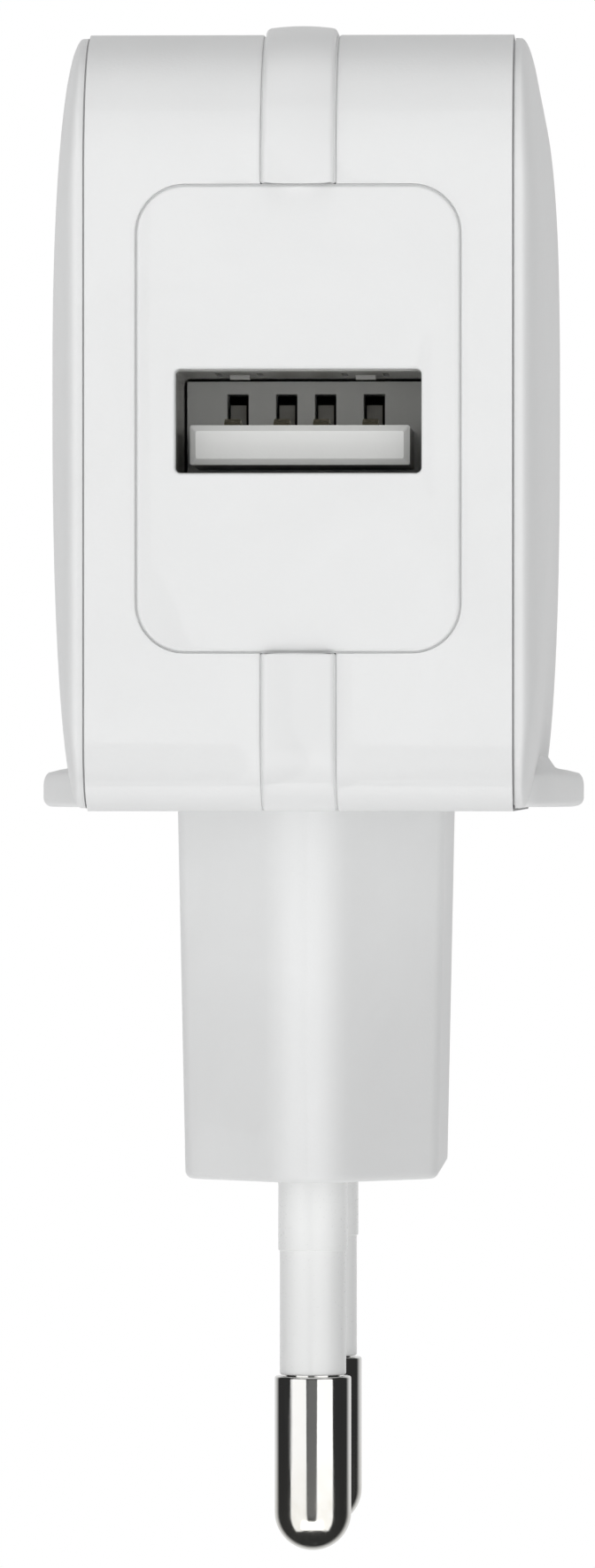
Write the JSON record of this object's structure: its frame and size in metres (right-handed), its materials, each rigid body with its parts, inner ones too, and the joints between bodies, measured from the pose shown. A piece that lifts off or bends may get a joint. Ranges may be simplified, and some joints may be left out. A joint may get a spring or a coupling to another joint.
{
  "type": "usb wall charger",
  "caption": "Slim wall charger with a flat two-pin plug stem, domed side covers, a centre band and a front panel with a USB port.",
  "frame": {"origin": "centre of the plug's engagement face, between the two pins, where the charger meets the wall socket", "axes": "+Z from the engagement face up through the stem into the housing, the pins point down -Z, the USB port faces -Y, X is the thickness"},
  "size_m": [0.028, 0.065, 0.0786],
  "materials": {
    "housing": "satin",
    "side_cover": "satin",
    "panel": "satin",
    "band": "satin",
    "plug": "satin",
    "pin_sleeve": "satin",
    "pin_metal": "polished",
    "port_steel": "satin",
    "port_plastic": "satin",
    "contact": "satin",
    "lead": "satin",
    "board": "satin",
    "ferrite": "matte",
    "black_resin": "matte",
    "winding_tape": "satin",
    "capacitor_can": "satin",
    "enamelled_coil": "satin",
    "blue_lacquer": "satin"
  },
  "bodies": {
    "charger": {"shell_left": "housing", "shell_right": "housing", "side_cover_left": "side_cover", "side_cover_right": "side_cover", "front_panel": "panel", "band_upper": "band", "band_lower": "band", "plug_body": "plug", "pin_front": "pin_metal", "pin_rear": "pin_metal", "sleeve_front": "pin_sleeve", "sleeve_rear": "pin_sleeve", "usb_shell": "port_steel", "usb_insulator": "port_plastic", "lead_front": "lead", "lead_rear": "lead", "contact_leg_vbus": "contact", "contact_leg_data_minus": "contact", "contact_leg_data_plus": "contact", "contact_leg_ground": "contact", "main_board": "board", "ferrite_core_front": "ferrite", "ferrite_core_rear": "ferrite", "transformer_bobbin": "black_resin", "transformer_winding": "winding_tape", "bulk_capacitor_lower": "capacitor_can", "bulk_capacitor_upper": "capacitor_can", "output_capacitor_lower": "capacitor_can", "output_capacitor_upper": "capacitor_can", "input_choke": "enamelled_coil", "fusible_resistor": "blue_lacquer", "safety_capacitor": "blue_lacquer", "controller_chip": "black_resin", "optocoupler": "black_resin", "bridge_rectifier": "black_resin", "output_diode": "black_resin"},
    "spring_vbus": {"contact_spring_vbus": "contact"},
    "spring_data_minus": {"contact_spring_data_minus": "contact"},
    "spring_data_plus": {"contact_spring_data_plus": "contact"},
    "spring_ground": {"contact_spring_ground": "contact"}
  },
  "joints": [
    {"name": "press_vbus", "type": "hinge", "parent": "charger", "child": "spring_vbus", "pos_m": [-0.0035, -0.0195, 0.0385], "axis": [1, 0, 0], "range_deg": [0, 3.4], "stiffness_Nm_per_rad": 0.05, "springref_deg": -2.01},
    {"name": "press_data_minus", "type": "hinge", "parent": "charger", "child": "spring_data_minus", "pos_m": [-0.001, -0.0195, 0.0385], "axis": [1, 0, 0], "range_deg": [0, 3.4], "stiffness_Nm_per_rad": 0.05, "springref_deg": -2.01},
    {"name": "press_data_plus", "type": "hinge", "parent": "charger", "child": "spring_data_plus", "pos_m": [0.001, -0.0195, 0.0385], "axis": [1, 0, 0], "range_deg": [0, 3.4], "stiffness_Nm_per_rad": 0.05, "springref_deg": -2.01},
    {"name": "press_ground", "type": "hinge", "parent": "charger", "child": "spring_ground", "pos_m": [0.0035, -0.0195, 0.0385], "axis": [1, 0, 0], "range_deg": [0, 3.4], "stiffness_Nm_per_rad": 0.05, "springref_deg": -2.01}
  ]
}
